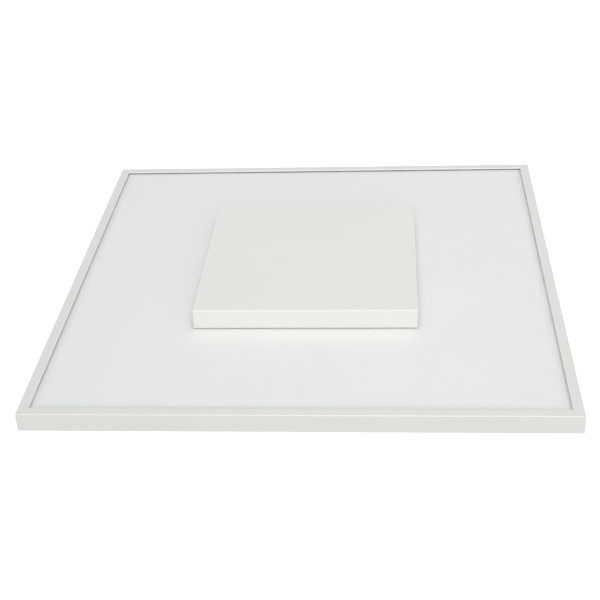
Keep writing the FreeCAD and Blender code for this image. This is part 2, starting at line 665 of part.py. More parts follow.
def cover_clips():
    """Four spring clips inside the bay wall that grip the cover's tabs."""
    thick = 0.5
    wall_face = size("bay_half") - size("sheet")
    back = wall_face - thick / 2 - 0.02
    outer = size("tab_outer") + 0.3 + thick / 2
    inner = size("tab_outer") - size("tab_thick") - 0.3 - thick / 2
    middle_line = [(back, 15.6), (back, 12), (outer, 9.6), (outer, 8.6), (back - 1.2, 5.2), (back - 1.6, 3.4),
                   (inner + 0.6, 3.4), (inner - 0.7, 5.0), (inner, 9.2), (inner - 1.5, 13)]
    half_width = 9
    path = Part.makePolygon([Vector(across, -half_width, height) for across, height in middle_line])
    leaf = path.makeOffset2D(thick / 2, 0, True).extrude(Vector(0, 2 * half_width, 0))
    leaves = []
    for placement in QUARTER.values():
        copy = leaf.copy()
        copy.Placement = placement
        leaves.append(copy)
    PARTS.append(solid_feature("cover_clips", Part.makeCompound(leaves)))


def driver_cover():
    """Folded sheet-metal cover over the driver bay."""
    cover = new_body("driver_cover")
    outline = new_sketch(cover, "outline", "cover_bottom")
    square(outline, "cover_half")
    pad(cover, "block", outline, "cover_top - cover_bottom")
    round_edges(cover, "upright_edges", "cover_radius",
                lambda edge: abs(edge.Vertexes[0].Z - edge.Vertexes[-1].Z) > 1)
    round_edges(cover, "top_edges", "cover_radius", on_level(size("cover_top")))
    inside = new_sketch(cover, "inside", "cover_bottom")
    square(inside, "cover_half - cover_sheet")
    pocket(cover, "hollow", inside, "cover_top - cover_bottom - cover_sheet", reverse=True)
    PARTS.append(cover)


def cover_tabs():
    """Angle tabs welded under the cover; their legs drop into the spring clips."""
    tabs = new_body("cover_tabs")
    profile = new_sketch(tabs, "profile", plane="XZ_Plane")
    top, inner = "cover_top - cover_sheet", "tab_outer - tab_thick"
    polygon(profile, [("tab_outer - tab_foot", top), ("tab_outer - tab_foot", f"{top} - tab_thick"),
                      (inner, f"{top} - tab_thick"), (inner, "tab_bottom + 1"),
                      (f"{inner} + 0.25", "tab_bottom"), ("tab_outer - 0.25", "tab_bottom"),
                      ("tab_outer", "tab_bottom + 1"), ("tab_outer", top)])
    leg = pad(tabs, "leg", profile, "2 * tab_half_width", symmetric=True)
    quarter_turns(tabs, "four_sides", [leg])
    PARTS.append(tabs)


# ---------------------------------------------------------------- driver
def driver_case_base():
    """Folded base: floor with end tabs, two low side walls and board pillars."""
    base = new_body("driver_case_base")
    floor = new_sketch(base, "floor", "sheet")
    centred_rectangle(floor, "0", "driver_y", "2 * driver_tab", "2 * driver_half_width - 2.2")
    pad(base, "floor_plate", floor, "sheet")
    walls = new_sketch(base, "walls", "sheet")
    for side in SIGNS:
        middle = f"driver_y + {side} * (driver_half_width - 1.5)"
        centred_rectangle(walls, "0", middle, "2 * driver_half_length - 4", "sheet")
    pad(base, "side_walls", walls, "base_wall_top - sheet")
    pillars = new_sketch(base, "pillars", "2 * sheet")
    for across in SIGNS:
        for along in SIGNS:
            circle(pillars, f"{across} * 64", f"driver_y + {along} * 13", "2.5")
    pad(base, "board_pillars", pillars, "board_bottom - 2 * sheet")
    corner_cuts = new_sketch(base, "corner_cuts", "2 * sheet")
    for across in SIGNS:
        for along in SIGNS:
            centred_rectangle(corner_cuts, f"{across} * (driver_tab - 6)",
                              f"driver_y + {along} * (driver_half_width - 2)", "16", "16")
        circle(corner_cuts, f"{across} * driver_stud", "driver_y", "2.2")
    pocket(base, "tab_shape", corner_cuts, "sheet")
    holes = new_sketch(base, "screw_holes", "-driver_y - driver_half_width", plane="XZ_Plane")
    for across in SIGNS:
        circle(holes, f"{across} * case_screw_x", "case_screw_z", "1.6")
    pocket(base, "screw_holes_cut", holes, "2 * driver_half_width", reverse=True)
    PARTS.append(base)


def driver_case_lid():
    """Folded lid with a wire window in each end and rows of cooling slots."""
    lid = new_body("driver_case_lid")
    outline = new_sketch(lid, "outline", "lid_bottom")
    centred_rectangle(outline, "0", "driver_y", "2 * driver_half_length", "2 * driver_half_width")
    pad(lid, "block", outline, "driver_top - lid_bottom")
    rim = size("lid_bottom") + 1
    round_edges(lid, "edges", "1.0", lambda edge: max(vertex.Z for vertex in edge.Vertexes) > rim)
    inside = new_sketch(lid, "inside", "lid_bottom")
    centred_rectangle(inside, "0", "driver_y", "2 * (driver_half_length - sheet)",
                      "2 * (driver_half_width - sheet)")
    pocket(lid, "hollow", inside, "driver_top - lid_bottom - sheet", reverse=True)
    windows = new_sketch(lid, "windows", "driver_half_length", plane="YZ_Plane")
    rectangle(windows, "driver_y - window_half_width", "window_bottom",
              "driver_y + window_half_width", "window_top")
    pocket(lid, "windows_cut", windows, "2 * driver_half_length")
    slots = new_sketch(lid, "slots", "-driver_y - driver_half_width", plane="XZ_Plane")
    for step in range(9):
        rectangle(slots, f"{(step - 4) * 10} - 1.2", "16.5", f"{(step - 4) * 10} + 1.2", "24.5")
    for across in SIGNS:
        circle(slots, f"{across} * case_screw_x", "case_screw_z", "1.6")
    pocket(lid, "slots_cut", slots, "2 * driver_half_width", reverse=True)
    PARTS.append(lid)


def driver_case_screws():
    """Two pan-head screws in each long side of the case."""
    screws = new_body("driver_case_screws")
    for end, along, outward in (("front", "-1", False), ("back", "1", True)):
        face = f"-driver_y - {along} * driver_half_width"
        heads = new_sketch(screws, f"{end}_heads", face, plane="XZ_Plane")
        shanks = new_sketch(screws, f"{end}_shanks", face, plane="XZ_Plane")
        recesses = new_sketch(screws, f"{end}_recesses", f"{face} - {along} * 1.4", plane="XZ_Plane")
        for across in SIGNS:
            circle(heads, f"{across} * case_screw_x", "case_screw_z", "2.8")
            circle(shanks, f"{across} * case_screw_x", "case_screw_z", "1.5")
            cross(recesses, f"{across} * case_screw_x", "case_screw_z", "recess_span", "recess_width")
        pad(screws, f"{end}_head_pads", heads, "1.4", reverse=outward, taper=-20)
        pad(screws, f"{end}_shank_pads", shanks, "3", reverse=not outward)
        pocket(screws, f"{end}_recess_cuts", recesses, "recess_depth", reverse=outward)
    PARTS.append(screws)


def driver_board():
    """Glass-fibre board on the four pillars."""
    board = new_body("driver_board")
    outline = new_sketch(board, "outline", "board_bottom")
    centred_rectangle(outline, "0", "driver_y", "2 * board_half_length", "2 * board_half_width")
    pad(board, "plate", outline, "board_thick")
    holes = new_sketch(board, "holes", "board_bottom + board_thick")
    for across in SIGNS:
        for along in SIGNS:
            circle(holes, f"{across} * 64", f"driver_y + {along} * 13", "1.4")
    pocket(board, "holes_cut", holes, "board_thick")
    PARTS.append(board)


BOARD_TOP = "board_bottom + board_thick"


def block_on_board(name, centre_x, centre_y, length, width, height):
    """Body with one upright block that stands on the driver's board."""
    block = new_body(name)
    outline = new_sketch(block, "outline", BOARD_TOP)
    centred_rectangle(outline, centre_x, centre_y, length, width)
    pad(block, "block", outline, height)
    return block


def driver_transformer():
    """Ferrite core with a wound bobbin through its two windows."""
    transformer = block_on_board("driver_transformer", "14", "driver_y", "26", "22", "18")
    windows = new_sketch(transformer, "windows", "-driver_y - 11", plane="XZ_Plane")
    for side in SIGNS:
        centred_rectangle(windows, f"14 + {side} * 6.5", f"{BOARD_TOP} + 9", "5", "11")
    pocket(transformer, "window_cuts", windows, "22", reverse=True)
    winding = new_sketch(transformer, "winding", f"{BOARD_TOP} + 4.5")
    centred_rectangle(winding, "14", "driver_y", "17", "28")
    pad(transformer, "winding_pad", winding, "9")
    PARTS.append(transformer)


def standing_cans(name, places, radius, height):
    """Electrolytic capacitors standing on the driver's board."""
    cans = new_body(name)
    outline = new_sketch(cans, "outlines", BOARD_TOP)
    for centre_x, centre_y in places:
        circle(outline, centre_x, centre_y, radius)
    pad(cans, "cans", outline, height)
    top = size("board_bottom") + size("board_thick") + float(height)
    round_edges(cans, "tops", "1.2", on_level(top))
    PARTS.append(cans)


def driver_choke():
    """Toroidal input choke standing on edge."""
    ring = doc.addObject("Part::Torus", "driver_choke")
    ring.Label = "driver_choke"
    ring.setExpression("Radius1", bound("choke_radius"))
    ring.setExpression("Radius2", bound("choke_section"))
    ring.Placement = Placement(Vector(-44, 0, 0), Rotation(Vector(0, 1, 0), 90))
    ring.setExpression("Placement.Base.y", bound("driver_y"))
    ring.setExpression("Placement.Base.z", bound(f"{BOARD_TOP} + choke_radius + choke_section"))
    PARTS.append(ring)


def driver_terminal(name, side):
    """Push-in terminal at one end of the driver, with two wire holes facing out."""
    centre = f"{side} * (driver_half_length - 1 - terminal_depth / 2)"
    terminal = block_on_board(name, centre, "driver_y", "terminal_depth", "2 * terminal_half_width",
                              "terminal_height")
    levers = new_sketch(terminal, "levers", f"{BOARD_TOP} + terminal_height")
    for along in SIGNS:
        centred_rectangle(levers, centre, f"driver_y + {along} * 3.5", "5", "3")
    pad(terminal, "lever_pads", levers, "1.2")
    PARTS.append(terminal)


# ---------------------------------------------------------------- mains terminal and cord clamp
POLES = {"live": -1, "neutral": 0, "earth": 1}


def mains_terminal():
    """Moulded terminal block with its base plate and the cord clamp's two pillars."""
    block = new_body("mains_terminal")
    plate = new_sketch(block, "plate", "sheet")
    rectangle(plate, "block_x - block_half_length - 2", "block_y - block_half_width - 2",
              "base_plate_end", "block_y + block_half_width + 2")
    pad(block, "plate_pad", plate, "base_plate_top - sheet")
    housing = new_sketch(block, "housing", "sheet")
    centred_rectangle(housing, "block_x", "block_y", "2 * block_half_length", "2 * block_half_width")
    pad(block, "housing_pad", housing, "block_top - sheet")
    pillars = new_sketch(block, "pillars", "sheet")
    for side in SIGNS:
        circle(pillars, "clamp_x", f"block_y + {side} * clamp_screw_offset", "pillar_radius")
    pad(block, "pillar_pads", pillars, "pillar_top - sheet")
    wells = new_sketch(block, "wells", "block_top")
    seats = new_sketch(block, "nut_seats", "base_plate_top")
    stud_holes = new_sketch(block, "stud_holes", "2 * sheet")
    screw_holes = new_sketch(block, "clamp_screw_holes", "pillar_top")
    cord_holes = new_sketch(block, "cord_holes", "block_x + block_half_length", plane="YZ_Plane")
    for pole in POLES.values():
        centred_rectangle(wells, "button_x", f"block_y + {pole} * pole_pitch",
                          "button_length + 2 * button_gap", "button_width + 2 * button_gap")
        circle(cord_holes, f"block_y + {pole} * pole_pitch", "8", "2.4")
    for side in SIGNS:
        circle(seats, "block_stud_x", f"block_y + {side} * block_stud_offset", "nut_flange + 0.6")
        circle(stud_holes, "block_stud_x", f"block_y + {side} * block_stud_offset", "2.2")
        circle(screw_holes, "clamp_x", f"block_y + {side} * clamp_screw_offset", "1.55")
    pocket(block, "well_cuts", wells, "block_top - button_well")
    pocket(block, "nut_seat_cuts", seats, "base_plate_top - 2 * sheet")
    pocket(block, "stud_hole_cuts", stud_holes, "sheet")
    pocket(block, "clamp_screw_hole_cuts", screw_holes, "6")
    pocket(block, "cord_hole_cuts", cord_holes, "8")
    PARTS.append(block)


def release_button(pole_name, pole):
    """Sprung button that opens one pole of the terminal."""
    button = new_body(f"release_button_{pole_name}")
    outline = new_sketch(button, "outline", "button_bottom")
    centred_rectangle(outline, "button_x", f"block_y + {pole} * pole_pitch", "button_length", "button_width")
    pad(button, "block", outline, "button_top - button_bottom")
    round_edges(button, "top_edges", "0.5", on_level(size("button_top")))
    groove = new_sketch(button, "groove", "button_top")
    centred_rectangle(groove, "button_x", f"block_y + {pole} * pole_pitch", "0.8", "3.6")
    pocket(button, "groove_cut", groove, "0.6")
    PARTS.append(button)


def terminal_contacts():
    """Brass sleeve inside each of the block's cord holes."""
    contacts = new_body("terminal_contacts")
    outline = new_sketch(contacts, "outlines", "block_x + block_half_length - 0.4", plane="YZ_Plane")
    for pole in POLES.values():
        circle(outline, f"block_y + {pole} * pole_pitch", "8", "2.25")
        circle(outline, f"block_y + {pole} * pole_pitch", "8", "1.7")
    pad(contacts, "sleeves", outline, "7", reverse=True)
    PARTS.append(contacts)


def cord_clamp():
    """Bar that presses the supply cord down between the two pillars."""
    bar = new_body("cord_clamp")
    outline = new_sketch(bar, "outline", "pillar_top")
    centred_rectangle(outline, "clamp_x", "block_y", "2 * clamp_bar_half_width",
                      "2 * (clamp_screw_offset + pillar_radius)")
    pad(bar, "bar", outline, "clamp_bar_thick")
    ridge = new_sketch(bar, "ridge", "pillar_top")
    centred_rectangle(ridge, "clamp_x", "block_y", "2", "14")
    pad(bar, "ridge_pad", ridge, "1.2", reverse=True)
    holes = new_sketch(bar, "holes", "pillar_top + clamp_bar_thick")
    for side in SIGNS:
        circle(holes, "clamp_x", f"block_y + {side} * clamp_screw_offset", "1.7")
    pocket(bar, "holes_cut", holes, "clamp_bar_thick")
    PARTS.append(bar)


def clamp_screws():
    """Two pan-head screws that pull the clamp bar down."""
    screws = new_body("clamp_screws")
    seat = "pillar_top + clamp_bar_thick"
    heads = new_sketch(screws, "heads", seat)
    shanks = new_sketch(screws, "shanks", seat)
    recesses = new_sketch(screws, "recesses", f"{seat} + 2")
    for side in SIGNS:
        centre_y = f"block_y + {side} * clamp_screw_offset"
        circle(heads, "clamp_x", centre_y, "3")
        circle(shanks, "clamp_x", centre_y, "1.45")
        cross(recesses, "clamp_x", centre_y, "recess_span", "recess_width")
    pad(screws, "head_pads", heads, "2")
    pad(screws, "shank_pads", shanks, "7.5", reverse=True)
    pocket(screws, "recess_cuts", recesses, "recess_depth")
    PARTS.append(screws)


def earth_tag():
    """Crimped ring tag on the earth stud."""
    tag = new_body("earth_tag")
    ring = new_sketch(tag, "ring", "sheet")
    circle(ring, "earth_x", "earth_y", "4.4")
    circle(ring, "earth_x", "earth_y", "2.2")
    pad(tag, "ring_plate", ring, "sheet")
    neck = new_sketch(tag, "neck", "sheet")
    rectangle(neck, "earth_x - 1.6", "earth_y - 9", "earth_x + 1.6", "earth_y - 3.8")
    pad(tag, "neck_plate", neck, "sheet")
    barrel = new_sketch(tag, "barrel", "-earth_y + 6", plane="XZ_Plane")
    circle(barrel, "earth_x", "2.5", "1.6")
    pad(tag, "barrel_pad", barrel, "8")
    PARTS.append(tag)


# ---------------------------------------------------------------- wires
ARC_SHARE = 0.45


def rounded_path(points):
    """Straight runs joined by tangent arcs, each as large as its two runs allow."""
    corners = [Vector(*point) for point in points]
    edges = []
    radii = []
    last = corners[0]
    for before, corner, after in zip(corners, corners[1:], corners[2:]):
        back = (before - corner).normalize()
        ahead = (after - corner).normalize()
        reach = ARC_SHARE * min((before - corner).Length, (after - corner).Length)
        half_angle = math.acos(max(-1.0, min(1.0, back.dot(ahead)))) / 2
        radius = reach * math.tan(half_angle)
        bisector = (back + ahead).normalize()
        middle = corner + bisector * (radius / math.sin(half_angle) - radius)
        start, end = corner + back * reach, corner + ahead * reach
        edges.append(Part.LineSegment(last, start).toShape())
        edges.append(Part.Arc(start, middle, end).toShape())
        radii.append(radius)
        last = end
    edges.append(Part.LineSegment(last, corners[-1]).toShape())
    return Part.Wire(edges), radii


def wire_tube(points, radius):
    """Round tube along a path; its volume is compared with section times length."""
    path, radii = rounded_path(points)
    heading = (Vector(*points[1]) - Vector(*points[0])).normalize()
    section = Part.Wire([Part.Circle(Vector(*points[0]), heading, radius).toShape()])
    tube = path.makePipeShell([section], True, False)
    expected = math.pi * radius ** 2 * path.Length
    if abs(tube.Volume - expected) > 0.01 * expected:
        raise RuntimeError("a wire's volume differs from its section times its length")
    return tube, path.Length, min(radii)


def insulated_wires(name, routes, radius):
    """One sub-part with a tube for every route."""
    tubes = []
    for points in routes:
        tube, length, tightest = wire_tube(points, radius)
        tubes.append(tube)
        print(f"{name}: length {length:.1f}, tightest bend {tightest:.1f}, radius {radius}")
    shape = tubes[0] if len(tubes) == 1 else Part.makeCompound(tubes)
    PARTS.append(solid_feature(name, shape))


def mains_wires():
    block_face = size("block_x") - size("block_half_length")
    live_y = size("block_y") - size("pole_pitch")
    neutral_y = size("block_y")
    earth_y = size("block_y") + size("pole_pitch")
    driver_face = 1 - size("driver_half_length")
    driver_y = size("driver_y")
    insulated_wires("wire_live", [[
        (block_face, live_y, 8), (-50, live_y, 8), (-82, live_y + 3, 8.6), (-104, -50, 9.8),
        (-110, -18, 11), (-109, 14, 12), (-101, 40, 12.6), (-88, driver_y + 3.5, 12.6),
        (driver_face, driver_y + 3.5, 12.6)]], 1.1)
    insulated_wires("wire_neutral", [[
        (block_face, neutral_y, 8), (-48, neutral_y, 8), (-74, neutral_y + 4, 8.6), (-94, -38, 9.8),
        (-101, -10, 11), (-100, 16, 12), (-95, 33, 12.6), (-86, driver_y - 3.5, 12.6),
        (driver_face, driver_y - 3.5, 12.6)]], 1.1)
    earth_x, tag_end = size("earth_x"), size("earth_y") - 14 - 4 * size("wire_end_gap")
    insulated_wires("wire_earth", [[
        (block_face, earth_y, 8), (-36, earth_y, 8), (-50, earth_y + 2, 6.6), (earth_x - 1, earth_y + 9, 4.2),
        (earth_x, tag_end, 2.5)]], 1.1)


def low_voltage_wires():
    start = size("driver_half_length") - 1
    end = 2 * size("led_pitch") - size("connector_length") / 2 - size("wire_end_gap")
    height = size("wire_height")
    for name, side in (("wire_dc_positive", 1), ("wire_dc_negative", -1)):
        leave = size("driver_y") + 3.5 * side
        enter = size("feed_y") + size("wire_offset") * side
        insulated_wires(name, [[
            (start, leave, 12.6), (86, leave, 12.6), (98, enter + 0.4 * side, 11.4), (109, enter, 10),
            (123, enter, 8.9), (134, enter, 6), (146, enter, 3.8), (end, enter, height)]], 0.8)


def strip_link_wires():
    """Short wire pairs that link each strip's connector to the next."""
    routes = []
    pitch = size("led_pitch")
    half = size("connector_length") / 2 + size("wire_end_gap")
    height = size("wire_height")
    for side in (-1, 1):
        for column in range(-3, 3):
            first = column * pitch + half
            last = (column + 1) * pitch - half
            third = (last - first) / 3
            for lane in (-1, 1):
                line = side * size("connector_y") + lane * size("wire_offset")
                routes.append([(first, line, height), (first + third, line + 1.2 * lane, height),
                               (last - third, line + 0.8 * lane, height), (last, line, height)])
    insulated_wires("strip_link_wires", routes, 0.6)


# ---------------------------------------------------------------- assembly
for side in SIDES:
    frame_rail(side)
KEY_CORNERS = {"front_left": "front", "front_right": "right", "back_right": "back", "back_left": "left"}
for corner, side in KEY_CORNERS.items():
    corner_key(f"corner_key_{corner}", side)
frame_screws()
back_tray()
for strip_name, (column, first, last) in STRIPS.items():
    led_strip(strip_name, column, first, last)
strip_tapes()
led_lenses()
led_chips()
strip_connectors()
reflector()
support_posts()
diffuser()
bay_wall()
weld_studs()
stud_nuts()
cable_grommet()
wire_bush()
cover_clips()
driver_cover()
cover_tabs()
driver_case_base()
driver_case_lid()
driver_case_screws()
driver_board()
driver_transformer()
standing_cans("driver_bulk_capacitor", [("-24", "driver_y")], "7", "20")
standing_cans("driver_output_capacitors", [("40", "driver_y - 7"), ("40", "driver_y + 7")], "5", "16")
driver_choke()
driver_terminal("driver_input_terminal", -1)
driver_terminal("driver_output_terminal", 1)
mains_terminal()
for pole_name, pole in POLES.items():
    release_button(pole_name, pole)
terminal_contacts()
cord_clamp()
clamp_screws()
earth_tag()
mains_wires()
low_voltage_wires()
strip_link_wires()

# ---------------------------------------------------------------- checks and export
doc.recompute()
for item in doc.Objects:
    if "Invalid" in item.State or "Error" in item.State:
        raise RuntimeError(f"{item.Name} failed: {item.State}")
for part in PARTS:
    if part.Shape.isNull() or not part.Shape.isValid() or not part.Shape.Solids:
        raise RuntimeError(f"{part.Label} has no valid solid")
    part.Shape.exportStep(f"parts/{part.Label}.step")
print(f"{len(PARTS)} sub-parts written")
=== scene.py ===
"""Looks for the square surface-mounted LED panel light: materials, small detail pieces and studio.

Lengths are in metres, in the frame of the CAD model: +Z is the side that shines.
"""

import bmesh
import bpy
import json
import math
from mathutils import Matrix, Vector


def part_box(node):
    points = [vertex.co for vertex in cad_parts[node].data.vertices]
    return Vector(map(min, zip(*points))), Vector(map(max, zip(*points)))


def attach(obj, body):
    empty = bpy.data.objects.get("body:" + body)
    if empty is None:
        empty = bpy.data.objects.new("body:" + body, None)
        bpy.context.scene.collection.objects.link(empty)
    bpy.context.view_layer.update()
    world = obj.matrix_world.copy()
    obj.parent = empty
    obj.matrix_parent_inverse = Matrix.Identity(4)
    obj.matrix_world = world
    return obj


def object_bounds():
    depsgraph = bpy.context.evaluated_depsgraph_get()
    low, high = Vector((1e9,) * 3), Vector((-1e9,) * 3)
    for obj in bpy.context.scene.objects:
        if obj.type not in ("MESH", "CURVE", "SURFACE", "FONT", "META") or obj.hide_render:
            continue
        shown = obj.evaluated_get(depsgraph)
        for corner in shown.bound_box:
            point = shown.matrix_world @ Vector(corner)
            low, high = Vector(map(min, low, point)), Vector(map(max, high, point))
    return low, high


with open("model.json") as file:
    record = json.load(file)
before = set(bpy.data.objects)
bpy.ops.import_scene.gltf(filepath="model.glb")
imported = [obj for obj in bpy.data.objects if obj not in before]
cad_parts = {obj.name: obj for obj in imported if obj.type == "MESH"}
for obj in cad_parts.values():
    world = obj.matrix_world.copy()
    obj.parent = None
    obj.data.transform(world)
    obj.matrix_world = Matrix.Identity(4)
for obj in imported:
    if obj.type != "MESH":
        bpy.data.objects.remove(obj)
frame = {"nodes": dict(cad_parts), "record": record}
cad_low, cad_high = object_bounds()
nodes = frame["nodes"]

MM = 0.001
WHITE = (1, 1, 1)
RANGE_SOCKETS = ("From Min", "From Max", "To Min", "To Max")

# where the frame's lip and the diffuser under it lie, measured out from the middle
FRAME_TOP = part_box("frame_rail_front")[1].z
LIP_WIDTH = 12 * MM
SHADOW_GAP = 1.5 * MM
DIFFUSER_FACE = cad_high.x - LIP_WIDTH - SHADOW_GAP

# painted shade of the diffuser towards its rim, and painted light on its flange under the shadow gap
RIM_SHADE_WIDTH = 14 * MM
RIM_SHADE = (0.87, 0.885, 0.9)
EDGE_SHADE_WIDTH = 8 * MM
EDGE_SHADE = (0.84, 0.84, 0.85)
FLANGE_BLEND = 0.2 * MM
FLANGE_PAINTED_LIGHT = (0.8, 0.8, 0.8)

# painted highlight: the frame's paint made brighter along the edges of its lip
PAINTED_HIGHLIGHT_WIDTH = 1.3 * MM
PAINTED_HIGHLIGHT_TONE = 1.08

# texture values between which a material goes from none to all of a change
NOISE_SPAN = (0.3, 0.7)
NARROW_SPAN = (0.35, 0.65)
UPPER_SPAN = (0.35, 0.7)
CELL_SPAN = (0.1, 0.7)
FULL_SPAN = (0.0, 1.0)


# ---------------------------------------------------------------- node helpers
def set_range(map_range, *limits):
    """Give a Map Range node its two old and two new limits."""
    for name, value in zip(RANGE_SOCKETS, limits):
        map_range.inputs[name].default_value = value


def toned(colour, tone):
    """A colour times one factor, or times a factor for each of its parts."""
    factors = tone if isinstance(tone, tuple) else (tone, tone, tone)
    return tuple(part * factor for part, factor in zip(colour, factors))


def shade(colour):
    """Linear colour from an sRGB one with parts between 0 and 255."""
    return tuple(((part / 255 + 0.055) / 1.055) ** 2.4 for part in colour)


class Shader:
    """A material with one Principled surface, built from chained procedural nodes."""

    def __init__(self, name, colour, roughness, metallic=0.0, specular=0.5):
        self.material = bpy.data.materials.new(name)
        self.material.use_nodes = True
        self.tree = self.material.node_tree
        self.surface = self.tree.nodes["Principled BSDF"]
        self.surface.inputs["Base Color"].default_value = (*colour, 1)
        self.surface.inputs["Roughness"].default_value = roughness
        self.surface.inputs["Metallic"].default_value = metallic
        self.surface.inputs["Specular IOR Level"].default_value = specular
        self.colour = colour
        self.place = self.tree.nodes.new("ShaderNodeTexCoord").outputs["Object"]
        self.bump = None
        self.tint = None

    def node(self, kind, **inputs):
        made = self.tree.nodes.new(kind)
        for name, value in inputs.items():
            self.feed(made.inputs[name.replace("_", " ")], value)
        return made

    def feed(self, socket, value):
        if isinstance(value, bpy.types.NodeSocket):
            self.tree.links.new(value, socket)
        else:
            socket.default_value = value

    def stretched(self, scale):
        """Object coordinates scaled along each axis, for brushed or drawn textures."""
        mapping = self.node("ShaderNodeMapping", Vector=self.place)
        mapping.inputs["Scale"].default_value = scale
        return mapping.outputs["Vector"]

    def noise(self, per_metre, detail=3.0, roughness=0.5, place=None):
        texture = self.node("ShaderNodeTexNoise", Vector=place or self.place, Scale=per_metre,
                            Detail=detail, Roughness=roughness)
        return texture.outputs["Fac"]

    def cells(self, per_metre):
        """Distance from the middle of the nearest of many irregular cells."""
        texture = self.node("ShaderNodeTexVoronoi", Vector=self.place, Scale=per_metre)
        return texture.outputs["Distance"]

    def ranged(self, value, low, high, new_low=0.0, new_high=1.0):
        mapped = self.node("ShaderNodeMapRange", Value=value)
        set_range(mapped, low, high, new_low, new_high)
        return mapped.outputs["Result"]

    def maths(self, operation, first, second=0.0):
        step = self.tree.nodes.new("ShaderNodeMath")
        step.operation = operation
        self.feed(step.inputs[0], first)
        self.feed(step.inputs[1], second)
        return step.outputs[0]

    def square_reach(self, axes):
        """Distance from the middle along X or Y, whichever is more: even along a square's sides."""
        return self.maths("MAXIMUM", self.maths("ABSOLUTE", axes.outputs["X"]),
                          self.maths("ABSOLUTE", axes.outputs["Y"]))

    def mix(self, factor, first, second):
        mixed = self.node("ShaderNodeMix")
        mixed.data_type = "RGBA"
        self.feed(mixed.inputs[0], factor)
        for socket, value in ((mixed.inputs[6], first), (mixed.inputs[7], second)):
            self.feed(socket, value if isinstance(value, bpy.types.NodeSocket) else (*value, 1))
        return mixed.outputs[2]

    def tinted(self, factor, other):
        """Blend the surface colour towards another colour by a factor between 0 and 1."""
        self.tint = self.mix(factor, self.tint or self.colour, other)
        self.tree.links.new(self.tint, self.surface.inputs["Base Color"])

    def patchy(self, texture, span, other, most=1.0):
        """Blend towards another colour where a texture is high, by no more than most."""
        self.tinted(self.ranged(texture, *span, 0.0, most), other)

    def rough(self, texture, low, high):
        spread = self.ranged(texture, *NOISE_SPAN, low, high)
        self.tree.links.new(spread, self.surface.inputs["Roughness"])

    def bumped(self, height, distance, strength):
        bump = self.node("ShaderNodeBump", Height=height, Distance=distance, Strength=strength)
        if self.bump:
            self.tree.links.new(self.bump, bump.inputs["Normal"])
        self.bump = bump.outputs["Normal"]
        self.tree.links.new(self.bump, self.surface.inputs["Normal"])


# ---------------------------------------------------------------- materials
def lip_edges(coat):
    """1 along the rounded edges on both sides of the frame's lip, 0 away from them: where the painted
    highlight goes.
    """
    axes = coat.node("ShaderNodeSeparateXYZ", Vector=coat.place)
    half_lip = LIP_WIDTH / 2
    full_highlight = PAINTED_HIGHLIGHT_WIDTH / 4
    off_middle = coat.maths("SUBTRACT", coat.square_reach(axes), cad_high.x - half_lip)
    aside = coat.maths("ABSOLUTE", off_middle)
    sideways = coat.ranged(aside, half_lip - PAINTED_HIGHLIGHT_WIDTH, half_lip - full_highlight)
    upwards = coat.ranged(axes.outputs["Z"], FRAME_TOP - PAINTED_HIGHLIGHT_WIDTH, FRAME_TOP - full_highlight)
    return coat.maths("MULTIPLY", sideways, upwards)


def powder_coat(name, colour, roughness, peel=1.0, lip_highlight=False):
    """Sprayed and baked coat: orange peel, a fine grain and faint unevenness of tone.

    The frame's coat is smoother, and painted brighter along the edges of its lip as a painted highlight.
    """
    coat = Shader(name, colour, roughness, specular=0.45)
    coat.patchy(coat.noise(14, detail=2), NARROW_SPAN, toned(colour, 0.975), 0.35)
    # painted highlight along the rounded edges of the lip
    if lip_highlight:
        coat.tinted(lip_edges(coat), toned(colour, PAINTED_HIGHLIGHT_TONE))
    peel_waves = coat.noise(420, detail=2, roughness=0.45)
    grain = coat.noise(2600, detail=2, roughness=0.6)
    coat.rough(peel_waves, roughness - 0.03, roughness + 0.04)
    coat.bumped(peel_waves, 0.04 * MM * peel, strength=0.6)
    coat.bumped(grain, 0.006 * MM * peel, strength=0.4)
    return coat.material


def moulded(name, colour, roughness, grain=1.0):
    """Injection-moulded plastic with a fine spark-eroded grain."""
    plastic = Shader(name, colour, roughness)
    plastic.patchy(plastic.noise(60), NOISE_SPAN, toned(colour, 0.94), 0.4)
    fine = plastic.noise(3500, detail=2, roughness=0.6)
    plastic.rough(fine, roughness - 0.05, roughness + 0.06)
    plastic.bumped(fine, 0.02 * MM * grain, strength=0.6)
    return plastic.material


def opal(name, colour, roughness):
    """Opal diffuser sheet: milky body, satin skin and a very fine emboss.

    Towards the rim its colour is painted darker and cooler, as painted shade: it lies on its ledge there
    and less light comes back through it from the white cavity behind, and a second, narrower band of
    painted shade deepens it at the edge. The flange under the shadow gap is painted paler than the rim,
    as painted light for what the sheet scatters sideways into it.
    """
    sheet = Shader(name, colour, roughness)
    reach = sheet.square_reach(sheet.node("ShaderNodeSeparateXYZ", Vector=sheet.place))
    # painted shade: darker and cooler towards the rim, then darker still in a narrower band at the edge
    for width, tone in ((RIM_SHADE_WIDTH, RIM_SHADE), (EDGE_SHADE_WIDTH, EDGE_SHADE)):
        towards_rim = sheet.ranged(reach, DIFFUSER_FACE - width, DIFFUSER_FACE)
        sheet.tinted(sheet.maths("MULTIPLY", towards_rim, towards_rim), toned(colour, tone))
    # painted light: the flange under the shadow gap is set paler than the shaded rim
    sheet.tinted(sheet.ranged(reach, DIFFUSER_FACE, DIFFUSER_FACE + FLANGE_BLEND), FLANGE_PAINTED_LIGHT)
    sheet.patchy(sheet.noise(9, detail=2), NARROW_SPAN, toned(colour, 0.985), 0.3)
    emboss = sheet.noise(1500, detail=2)
    sheet.rough(emboss, roughness - 0.03, roughness + 0.04)
    sheet.bumped(emboss, 0.008 * MM, strength=0.5)
    return sheet.material


